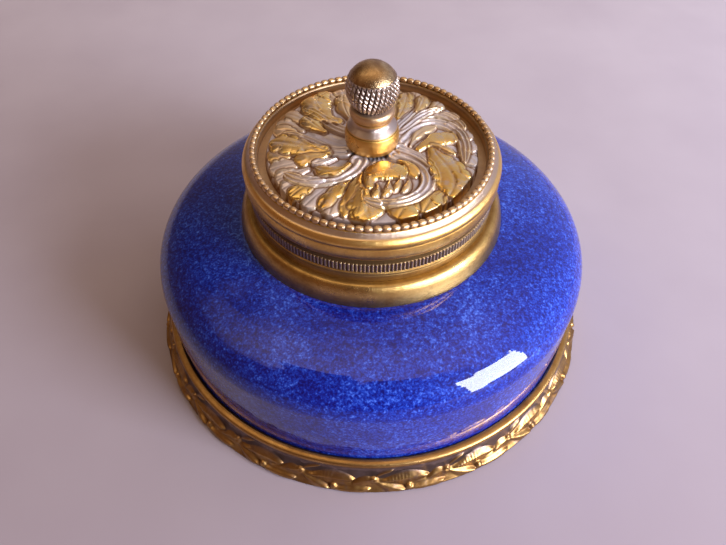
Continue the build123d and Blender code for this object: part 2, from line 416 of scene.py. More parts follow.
def relief_metal(name, gold, deep_gold, silver, crevice_shade, dusty=0.6, gloss=0.12):
    """Chased casting: "gilt" picks the gold lobes from the grey stems, whose tone is partly dust
    and partly a painted reflection of the room; "shade" darkens crevices and recesses with
    painted shade, by their depth; and "worn" marks the rubbed crests, lighter as wear and as a
    painted highlight. dusty is how metallic the grey parts are, and gloss is how much smoother
    the gold ones are."""
    n = Nodes(name)
    where = n.place()
    patches = n.noise(where, 190, 4, 0.6, 0.5)
    fine = n.noise(where, 1500, 3, 0.6)
    gold_tone = n.ramp(patches, (0.32, deep_gold), (0.62, gold))
    dull_silver = tuple(0.6 * s for s in silver)
    # The grey is partly dust and partly a painted reflection of the room.
    silver_tone = n.mix(n.mapped(patches, 0.35, 0.65, 0.0, 0.45), silver, dull_silver)
    gilt = n.attribute("gilt")
    rubbed = n.mapped(n.noise(where, 300, 4, 0.65), 0.34, 0.48, 0.45, 1.0)
    colour = n.mix(n.math("MULTIPLY", gilt, rubbed), silver_tone, gold_tone)
    shade = n.attribute("shade")
    # Painted shade: crevices and recesses darken towards a deep brown.
    colour = n.mix(shade, colour, crevice_shade)
    bright_gold = tuple(min(1, 1.25 * g) for g in gold)
    # Rubbed crests are lighter, as wear and as a painted highlight.
    colour = n.mix(n.math("MULTIPLY", n.attribute("worn"), 0.5, clamp=True), colour, bright_gold)
    rough = n.mapped(patches, 0.3, 0.7, 0.45, 0.33)
    rough = n.math("ADD", rough, n.math("MULTIPLY", shade, 0.3))
    rough = n.math("SUBTRACT", rough, n.math("MULTIPLY", gilt, gloss))
    dents = n.noise(where, 330, 3, 0.5)
    level = n.math("ADD", n.math("MULTIPLY", fine, 0.5), n.math("MULTIPLY", dents, 1.6))
    metallic = n.mapped(gilt, 0.0, 0.8, dusty, 1.0)
    return n.set(Base_Color=colour, Metallic=metallic, Roughness=rough, Normal=n.bump(level, 0.00005, 0.7))


def glass_material():
    n = Nodes("clear_glass")
    waves = n.noise(n.place(), 70, 2, 0.4)
    tint = n.ramp(waves, (0.3, (0.86, 0.95, 0.92)), (0.7, (0.95, 0.99, 0.97)))
    surface = n.bump(waves, 0.0003, 0.4)
    return n.set(Base_Color=tint, Roughness=0.03, IOR=1.5, Transmission_Weight=1.0, Normal=surface)


def felt_material():
    n = Nodes("felt")
    where = n.place()
    fibres = n.noise(where, 2600, 4, 0.8)
    tufts = n.noise(where, 320, 4, 0.6)
    tone = n.math("ADD", n.math("MULTIPLY", fibres, 0.6), n.math("MULTIPLY", tufts, 0.4))
    colour = n.ramp(tone, (0.35, (0.012, 0.035, 0.018)), (0.65, (0.045, 0.11, 0.055)))
    return n.set(
        Base_Color=colour, Roughness=0.95, Sheen_Weight=0.5, Sheen_Roughness=0.5,
        Normal=n.bump(tone, 0.0002, 0.8))


def cork_material():
    n = Nodes("cork")
    where = n.place()
    grains = n.cells(where, 900)
    tone = n.math("ADD", n.math("MULTIPLY", grains, 0.7), n.math("MULTIPLY", n.noise(where, 400), 0.5))
    colour = n.ramp(tone, (0.25, (0.03, 0.02, 0.015)), (0.7, (0.13, 0.085, 0.05)))
    return n.set(Base_Color=colour, Roughness=0.9, Normal=n.bump(tone, 0.0001, 0.7))


def steel_material():
    n = Nodes("steel")
    where = n.place()
    marks = n.noise(n.round_place(0.5), 2400, 2, 0.5)
    patches = n.noise(where, 240, 4, 0.6)
    colour = n.ramp(patches, (0.3, (0.18, 0.16, 0.14)), (0.65, (0.46, 0.45, 0.43)))
    rough = n.mapped(patches, 0.3, 0.7, 0.5, 0.3)
    return n.set(Base_Color=colour, Metallic=1.0, Roughness=rough, Normal=n.bump(marks, 0.00003, 0.6))


def floor_material():
    """A pale floor with painted shade, darker towards the front."""
    n = Nodes("pale_floor")
    where = n.place()
    tone = n.noise(where, 30, 3, 0.5)
    colour = n.ramp(tone, (0.3, (0.5, 0.445, 0.53)), (0.7, (0.54, 0.485, 0.57)))
    # Painted shade: the floor darkens towards the front.
    nearness = n.mapped(n.split(where)[1], -0.12, 0.16, 0.8, 0.0)
    colour = n.mix(nearness, colour, (0.27, 0.21, 0.25))
    return n.set(Base_Color=colour, Roughness=0.85)


GILT = metal("gilt_brass", (0.92, 0.6, 0.22), (0.76, 0.45, 0.12), (0.5, 0.25, 0.06), 0.3)
FOOT_GILT = metal("foot_gilt", (0.56, 0.35, 0.14), (0.4, 0.22, 0.07), (0.24, 0.11, 0.035), 0.3)
# Painted shade: a darker copy of the gilt, for the collar under the lid.
SHADED_COLLAR_GILT = metal("collar_gilt", (0.7, 0.46, 0.18), (0.53, 0.33, 0.11), (0.32, 0.16, 0.05), 0.3)
BRONZE = metal(
    "bronze", (0.62, 0.45, 0.26), (0.4, 0.25, 0.12), (0.19, 0.09, 0.045), 0.27, stain=0.6, patch_scale=210)
BRONZE_SCALES = metal(
    "bronze_scales", (0.62, 0.52, 0.47), (0.46, 0.36, 0.3), (0.24, 0.15, 0.1), 0.3,
    turned_marks=False, stain=0.3, patch_scale=210)
PLAIN = metal("plain_brass", (0.62, 0.47, 0.22), (0.5, 0.36, 0.15), (0.33, 0.22, 0.09), 0.36, stain=0.3)
RELIEF = relief_metal(
    "relief_brass", (0.95, 0.66, 0.22), (0.72, 0.4, 0.06), (0.66, 0.6, 0.65), (0.22, 0.1, 0.04))
GARLAND = relief_metal(
    "garland_brass", (0.42, 0.25, 0.09), (0.27, 0.135, 0.045), (0.21, 0.15, 0.14), (0.1, 0.042, 0.016),
    dusty=0.9, gloss=0.02)
GLAZE = blue_glaze()
GLASS = glass_material()
FELT = felt_material()
CORK = cork_material()
STEEL = steel_material()


# ---------------------------------------------------------------- ceramic body
def ceramic_body():
    foot = z_low("ceramic_body")
    seat = z_high("ceramic_body")
    widest = radius("ceramic_body")
    mouth, rod_hole = 29.5, 4.5
    floor_low, floor_high = 11.0, 16.0
    shoulder = bow((widest, 28.7), (56.15, 33.4), (51.2, 37.0), 17)
    slope = bow((51.0, 37.1), (44.5, 39.15), (34.9, seat), 9)
    outline = rounded([
        (51.5, foot, 0.6), (widest - 1.25, foot, 0.8), (widest - 1.1, 9.4, 3.0), (widest - 0.35, 19.0),
        *shoulder, *slope, (mouth, seat, 0.6), (mouth, 36.8, 0.8), (48.5, 33.6, 4.0), (52.4, 29.5, 4.0),
        (51.6, 17.5, 3.0), (47.5, floor_high, 1.0), (rod_hole, floor_high, 0.4),
        (rod_hole, floor_low, 0.4), (46.5, floor_low, 2.0)], spacing=1.0, arc_step=5.0)
    piece = turned("ceramic_body_glazed", outline, GLAZE_SEGMENTS)
    finish_piece(piece, "base", "ceramic_body", GLAZE)


# ---------------------------------------------------------------- foot
def base_ring():
    low = z_low("base_ring")
    bore, ledge, seat = 55.2, 50.0, 56.95
    ledge_low, ledge_high = 3.8, 5.0
    outline = rounded([
        (bore, low), (60.8, low, 0.3), (58.3, 7.6, 0.2), *bow((58.9, 7.7), (59.1, 9.2), (57.5, 9.75)),
        (57.0, 9.5, 0.3), (seat, 9.0, 0.2), (seat, ledge_high), (ledge, ledge_high),
        (ledge, ledge_low), (bore, ledge_low)], arc_step=8)
    r, z = outline.T
    # Painted shade on the inner lip next to the glaze and under the moulding; the crest is lighter, as wear
    # and as a painted highlight.
    shade = 0.9 * smooth_step(57.25, seat, r) + 0.8 * smooth_step(8.1, 7.7, z)
    worn = 0.6 * ridge(58.8, 0.3, r)
    piece = turned("foot_ring", outline, shade=shade, worn=worn)
    finish_piece(piece, "base", "base_ring", FOOT_GILT)


def laurel_band():
    """Garland round the foot. Each unit has a stem, one long toothed leaf, four smaller
    leaves and two berries, over a hollow ground."""
    low = z_low("laurel_band")
    widest = radius("laurel_band")
    per_unit = LAUREL_UNIT_SEGMENTS
    rows = LAUREL_ROWS
    segments = LAUREL_UNITS * per_unit
    face_low = np.array([widest - 0.7, low - 0.4])
    face_high = np.array([58.75, 7.75])
    middle, face_width = 60.8, 7.2
    t = np.linspace(0, 1, rows)[:, None]
    face = face_low + (face_high - face_low) * t
    face[:, 0] -= 0.4 * np.sin(math.pi * t[:, 0])
    back = np.array([[58.35, 7.65], [middle + 0.05, low], [widest - 1.1, low - 0.5]])
    outline = np.concatenate([face, back])
    along = (np.arange(segments) % per_unit) / per_unit
    u, v = np.meshgrid(along, np.linspace(0, 1, rows))
    # Leaf axes are in millimetres: one unit is about 19 mm long and the face is about 7 mm high.
    unit_length = TAU * middle / LAUREL_UNITS
    x = u * unit_length
    y = v * face_width

    def leaf(x0, y0, x1, y1, half_width, height, bend=0.0, keel=0.5):
        """A pointed leaf from its root to its tip, with a keel along the middle. It is drawn
        in the neighbouring units too, so that it may cross from one to the next."""
        total = np.zeros_like(x)
        dx, dy = x1 - x0, y1 - y0
        length = math.hypot(dx, dy)
        for shift in (-unit_length, 0, unit_length):
            from_x, from_y = x + shift - x0, y - y0
            s = (from_x * dx + from_y * dy) / length ** 2
            inside = np.clip(s, 0, 1)
            side = (from_y * dx - from_x * dy) / length - bend * np.sin(math.pi * inside)
            width = half_width * np.sin(math.pi * inside ** 1.25) ** 0.7 + 1e-3
            q = np.clip(np.abs(side) / width, 0, 1)
            roof = keel * (1 - q) + (1 - keel) * np.sqrt(1 - q * q)
            total = np.maximum(total, np.where((s > 0) & (s < 1), height * roof, 0))
        return total

    def berry(x0, y0, size, height, pit):
        """A dome with a pit in its top, drawn in the neighbouring units too."""
        total = np.zeros_like(x)
        for shift in (-unit_length, 0, unit_length):
            d = np.hypot(x + shift - x0, y - y0) / size
            dome = np.sqrt(np.maximum(1 - d * d, 0)) * height
            total = np.maximum(total, dome - pit * np.exp(-(d / 0.35) ** 2) * (d < 1))
        return total

    stem = 0.4 * np.exp(-((y - 2.4 - 0.6 * np.sin(TAU * u)) / 0.7) ** 2)
    long_leaf = leaf(2.4, 2.9, 14.8, 3.3, 2.1, 0.95, 0.3, 0.8)
    teeth = 0.14 * np.sin(TAU * x / 0.85) * smooth_step(0.15, 0.6, long_leaf) * smooth_step(10.5, 8.0, x)
    upper_leaf = leaf(0.9, 3.9, 5.6, 6.2, 0.7, 0.7, 0.2, 0.9)
    lower_leaf = leaf(0.6, 3.0, 8.4, 0.3, 1.3, 0.85, -0.3, 0.9)
    foot_leaf = leaf(8.6, 0.8, 18.8, 0.9, 1.6, 0.8, -0.2, 0.85)
    cup_leaf = leaf(14.2, 2.2, 19.9, 3.2, 1.5, 0.8, 0.3, 0.8)
    node_berry = berry(0.5, 3.3, 1.0, 1.2, 0.8)
    low_berry = berry(9.4, 1.2, 0.9, 1.2, 0.3)
    height = np.maximum.reduce([
        stem, upper_leaf, lower_leaf, foot_leaf, cup_leaf, long_leaf + teeth, node_berry, low_berry])
    hollow = -0.35 * np.sin(math.pi * v) ** 0.6
    random = np.random.default_rng(SEED)
    chasing = blurred(random.normal(0, 1, (rows, segments)), 6)
    chasing = 0.03 * np.clip(chasing / chasing.std(), -2, 2)
    field = blurred(hollow + height, 1)
    wobble = np.repeat(random.normal(0, 0.05, LAUREL_UNITS), per_unit)
    lift = first_rows(field * (1 + wobble) + chasing, outline)
    lift[[0, rows - 1]] = 0
    # The leaves stay inside the foot's widest radius, and the face leans in as it rises.
    outward = 0.95
    lift = np.minimum(lift, (widest - outline[:, :1]) / outward)
    low_field = blurred(lift[:rows], 8)
    raised = lift[:rows] - low_field
    # Painted shade in the low ground and hollows; raised parts are lighter, as wear and as a painted
    # highlight.
    shade = np.maximum(0.15 * smooth_step(0.3, 0.05, height) - 2.0 * raised, 0)
    gilt = np.maximum(0.8 * smooth_step(0.1, 0.45, height), smooth_step(5.2, 3.6, y))
    piece = turned(
        "laurel_garland", outline, segments, lift, shade=first_rows(shade, outline),
        gilt=first_rows(gilt, outline), worn=first_rows(1.6 * raised, outline))
    finish_piece(piece, "base", "laurel_band", GARLAND)


# ---------------------------------------------------------------- collar
COLLAR_BORE = 27.4
FLANGE_TOP = 46.4


def collar_foot():
    foot = z_low("collar_flange")
    spread = radius("collar_flange")
    spigot, spigot_low = 29.3, 38.0
    sweep = bow((spread - 0.35, foot + 1.3), (33.5, 44.75), (31.35, FLANGE_TOP - 0.05), 15)
    outline = rounded([
        (COLLAR_BORE, spigot_low), (spigot, spigot_low), (spigot, foot), (spread, foot, 0.25),
        (spread - 0.02, foot + 0.8, 0.35), (spread - 0.45, foot + 1.0, 0.1), *sweep,
        (COLLAR_BORE, FLANGE_TOP)], spacing=0.6, arc_step=6)
    z = outline[:, 1]
    # Painted shade under the flange's lower edge, in its step and at its joint with the neck.
    shade = 0.5 * smooth_step(foot + 0.7, foot + 0.1, z) + 0.8 * ridge(foot + 1.0, 0.13, z)
    shade += 0.5 * smooth_step(FLANGE_TOP - 0.3, FLANGE_TOP, z)
    piece = turned("collar_foot", outline, shade=shade, worn=0 * shade)
    finish_piece(piece, "base", "collar_flange", SHADED_COLLAR_GILT)


def collar_neck():
    """The neck with its milled band, and a fine groove under the band."""
    seam = z_high("collar_ring")
    inner, bore = 26.6, 29.1
    groove = 48.35
    low, high = 49.3, 52.0
    ground = 30.75
    outline = rounded([
        (inner, FLANGE_TOP), (31.0, FLANGE_TOP, 0.1), (31.05, 48.2, 0.1), (30.95, 48.32),
        (30.95, 48.4), (31.1, 48.55, 0.05), (31.1, 49.0, 0.08), (30.85, 49.15, 0.1),
        (ground, low, 0.05), (ground, high, 0.1), (30.9, high + 0.15, 0.05),
        (30.95, seam), (bore, seam), (bore, 47.2), (inner, 47.2)], spacing=0.35, arc_step=10)
    segments = MILLED_RIBS * RIB_SEGMENTS
    wave = 0.5 - 0.5 * np.cos(MILLED_RIBS * np.arange(segments) * TAU / segments)
    level = outline[:, 1]
    outside = outline[:, 0] > 30.5
    band = outside * smooth_step(low - 0.1, low + 0.25, level) * smooth_step(high + 0.1, high - 0.1, level)
    lift = 0.42 * band[:, None] * wave[None, :] ** 0.6
    # Painted shade: a dark band in the lid's shadow above the ribs, dark lines at the groove and at the
    # joint with the flange, and darkening from the top of the ribs downwards. The rib valleys get painted
    # shade too, and the rib tops a pale tint, partly a painted reflection.
    marks = 0.85 * smooth_step(high - 0.1, high + 0.1, level) + 0.5 * ridge(groove, 0.12, level)
    marks += 0.6 * smooth_step(46.7, FLANGE_TOP, level) + 0.3 * smooth_step(high, low, level)
    neck = (level > FLANGE_TOP + 0.1) * outside
    shade = band[:, None] * (1 - wave)[None, :] ** 1.5 + (neck * marks)[:, None]
    film = 0.4 * band[:, None] * wave[None, :]
    piece = turned("collar_neck", outline, segments, lift, shade=shade, worn=0 * shade, film=film)
    finish_piece(piece, "base", "collar_ring", SHADED_COLLAR_GILT)


# ---------------------------------------------------------------- lid
def lid_rim():
    """The lid's moulding: a drum, a groove and a round, then a trough inside the beads."""
    seam = z_low("lid_rim")
    widest = radius("lid_rim")
    skirt_bore, trough, hole = 28.8, 28.3, 22.5
    groove, lip = 57.58, 61.3
    shelf_low, shelf_high = 57.3, 58.5
    drum = bow((31.5, seam + 0.45), (31.95, 55.2), (31.8, 57.35))
    upper_round = bow((31.8, 57.75), (widest - 0.02, 58.9), (31.25, 60.1), 11)
    outline = rounded([
        (skirt_bore, seam), (31.0, seam, 0.1), *drum, (31.62, groove), *upper_round, (30.9, 60.25, 0.2),
        (30.15, 60.95, 0.2), (29.9, lip, 0.2), (28.5, lip, 0.2), (trough, 60.9, 0.15), (trough, shelf_high),
        (hole, shelf_high), (hole, shelf_low), (skirt_bore, shelf_low)], spacing=0.6, arc_step=6)
    outline[:, 0] = np.minimum(outline[:, 0], widest)
    r, z = outline.T
    outside = r > 30
    # Painted shade in the groove, on the drum's underside, in the trough and at the foot of the beads. The
    # upper round is lighter, as wear and as a painted highlight. The slope under the beads and the trough
    # wall get a pale tint, partly a painted reflection of the pale room.
    in_trough = smooth_step(28.6, 28.4, r)
    shade = 0.3 * ridge(groove, 0.12, z) * outside + 0.7 * smooth_step(54.2, 53.8, z)
    shade = shade + 0.4 * in_trough + 0.5 * smooth_step(60.9, 61.25, z)
    worn = smooth_step(59.0, 59.6, z) * smooth_step(60.4, 60.0, z)
    film = smooth_step(60.0, 60.3, z) * smooth_step(31.6, 31.0, r) * outside
    film = film + 0.5 * in_trough * (z > 58.4)
    piece = turned("lid_moulding", outline, shade=shade, worn=worn, film=0.6 * film)
    finish_piece(piece, "lid", "lid_rim", GILT)


def bead_ring():
    """A row of round beads, joined at the waists like a beaded wire."""
    top = z_high("bead_ring")
    middle = radius("bead_ring") - 1.0
    size, waist = 0.78, 0.45
    level = top - size
    segments = BEADS * BEAD_SEGMENTS
    pitch = TAU * middle / BEADS
    x = ((np.arange(segments) % BEAD_SEGMENTS) / BEAD_SEGMENTS - 0.5) * pitch
    bead = waist + (1 - waist) * np.sqrt(np.maximum(1 - (x / (0.47 * pitch)) ** 2, 0.0))
    turn = np.arange(BEAD_ROWS) / BEAD_ROWS * TAU
    r = middle + size * np.cos(turn)[:, None] * bead[None, :]
    z = level + size * np.sin(turn)[:, None] * bead[None, :]
    angle = np.arange(segments) * TAU / segments
    points = np.stack([r * np.cos(angle), r * np.sin(angle), z], -1)
    # Painted shade between the beads and on their lower halves; their tops are lighter, as a painted
    # highlight and as wear; a pale tint all over, partly a painted reflection.
    shade = np.maximum(smooth_step(0.88, 0.55, bead)[None, :], smooth_step(level, level - 0.6, z))
    worn = smooth_step(0.8, 1.0, bead)[None, :] * smooth_step(level + 0.1, top, z)
    film = np.full(BEAD_ROWS, 0.35)
    piece = grid_object("beaded_wire", points, False, shade=shade, worn=worn, film=film)
    finish_piece(piece, "lid", "bead_ring", GILT)


# ---------------------------------------------------------------- relief
STROKE_POINTS = 22
STROKE_WIDENING = 1.25
SCALLOP = 3.4  # length of one scallop of a leaf's margin
SIDE_FOOT = 0.15  # how far outside its margin a leaf begins to rise
SIDE_TOP = -0.55  # how far inside its margin it has risen
# The crease round a leaf is cut into the height and drawn as a dark line of painted shade.
CREASE = 0.32  # width of the dark line round a leaf
SHOWS_THROUGH = 0.3  # share of what lies under a leaf that still shows in its height


def curve_through(points, steps):
    """A smooth line through a few points."""
    at = np.linspace(0, 1, len(points))
    t = np.linspace(0, 1, steps)
    x, y = np.array(points, float).T
    degree = len(points) - 1
    return np.stack([np.polyval(np.polyfit(at, axis, degree), t) for axis in (x, y)], -1)


def nearest(line, px, py):
    """Distance to the line, share of its length and signed side, at each point."""
    best = np.full(px.shape, 1e9)
    share = np.zeros(px.shape)
    side = np.zeros(px.shape)
    for k in range(len(line) - 1):
        ax, ay = line[k]
        dx, dy = line[k + 1] - line[k]
        length = math.hypot(dx, dy)
        along = np.clip(((px - ax) * dx + (py - ay) * dy) / length ** 2, 0, 1)
        distance = np.hypot(px - ax - along * dx, py - ay - along * dy)
        closer = distance < best
        best = np.where(closer, distance, best)
        share = np.where(closer, (k + along) / (len(line) - 1), share)
        side = np.where(closer, np.sign(dx * (py - ay) - dy * (px - ax)), side)
    return best, share, side


def round_tip(s, start):
    return np.sqrt(np.clip(1 - np.clip((s - start) / (1 - start), 0, 1) ** 2, 0, 1))


def lobe_width(s, teeth):
    """Narrow root and full middle, with a scalloped margin."""
    scallops = 0.82 + 0.22 * np.sqrt(np.abs(np.sin(math.pi * (teeth * s - 0.8))))
    margin = 1 + (scallops - 1) * smooth_step(0.1, 0.4, s)
    return margin * (0.45 + 0.65 * smooth_step(0, 0.5, s)) * round_tip(s, 0.75)


def stem_width(s, teeth):
    return (1.1 - 0.35 * s) * round_tip(s, 0.85)


def lobe_height(s, q, teeth):
    """A spoon with a vein, ruffled by creases that run out obliquely to the scalloped margin."""
    ruffle = np.sqrt(np.abs(np.sin(math.pi * (teeth * s - 0.8 * np.abs(q)))))
    body = (0.72 + 0.36 * smooth_step(0, 0.6, s) - 0.3 * s ** 4) * (1.06 - 0.42 * q * q)
    margin = smooth_step(0.45, 0.9, np.abs(q))
    return body - 0.1 * ridge(0, 0.12, q) - 0.16 * (1 - ruffle) * margin


def dome_height(s, q, teeth):
    return 0.3 + 0.7 * np.sqrt(np.clip(1 - q * q, 0, 1)) * np.sin(math.pi * (0.15 + 0.7 * s))


def stem_height(s, q, teeth):
    """Three round ribs side by side."""
    return 0.8 + 0.2 * np.cos(3 * math.pi * q) - 0.15 * s - 0.1 * q * q


# For each kind of stroke, its half width along s, from root to tip, and its height over s and
# q, the share of that half width on either side. teeth is how many scallops its margin has.
SHAPES = {
    "lobe": (lobe_width, lobe_height),
    "dome": (lobe_width, dome_height),
    "stem": (stem_width, stem_height)}


class Relief:
    """A height field on the lid's disc, laid on leaf by leaf, each over the one before."""

    def __init__(self, inner, outer, rows, columns):
        self.r = np.linspace(inner, outer, rows)
        self.angle = np.arange(columns) * TAU / columns
        rr, aa = np.meshgrid(self.r, self.angle, indexing="ij")
        self.x, self.y = rr * np.cos(aa), rr * np.sin(aa)
        self.height = np.zeros_like(rr)
        self.cover = np.zeros_like(rr)
        self.gilt = np.zeros_like(rr)
        self.crease = np.zeros_like(rr)
        self.worn = np.zeros_like(rr)

    def lay(self, kind, half_width, height, gilt, *points):
        line = curve_through(points, STROKE_POINTS)
        teeth = max(2, round(np.hypot(*np.diff(line, axis=0).T).sum() / SCALLOP))
        half_width = STROKE_WIDENING * half_width
        room = half_width * 1.3 + 1
        low, high = line.min(0) - room, line.max(0) + room
        near = (self.x > low[0]) & (self.x < high[0]) & (self.y > low[1]) & (self.y < high[1])
        distance, s, side = nearest(line, self.x[near], self.y[near])
        width_of, height_of = SHAPES[kind]
        width = np.maximum(half_width * width_of(s, teeth), 1e-3)
        beyond = distance - width
        q = np.clip(side * distance / width, -1, 1)
        inside = smooth_step(SIDE_FOOT, SIDE_TOP, beyond)
        # rim is the dark line of painted shade just outside the margin.
        rim = ridge(0, CREASE, np.maximum(beyond, 0)) * (1 - inside)
        under = self.height[near]
        laid = SHOWS_THROUGH * under + height * height_of(s, q, teeth)
        self.height[near] = under * (1 - inside) + laid * inside
        self.cover[near] = np.maximum(self.cover[near], inside)
        tone = gilt if kind != "stem" else gilt + (0.5 - 0.4 * gilt) * smooth_step(0.5, 1, s)
        self.gilt[near] = self.gilt[near] * (1 - inside) + tone * inside
        self.crease[near] = np.maximum(self.crease[near] * (1 - inside), rim)
        # Crests along the margin are lighter, as wear and as a painted highlight.
        crest = smooth_step(0.6, 0.9, np.abs(q)) * smooth_step(0.1, 0.5, s)
        self.worn[near] = self.worn[near] * (1 - inside) + 0.7 * crest * inside


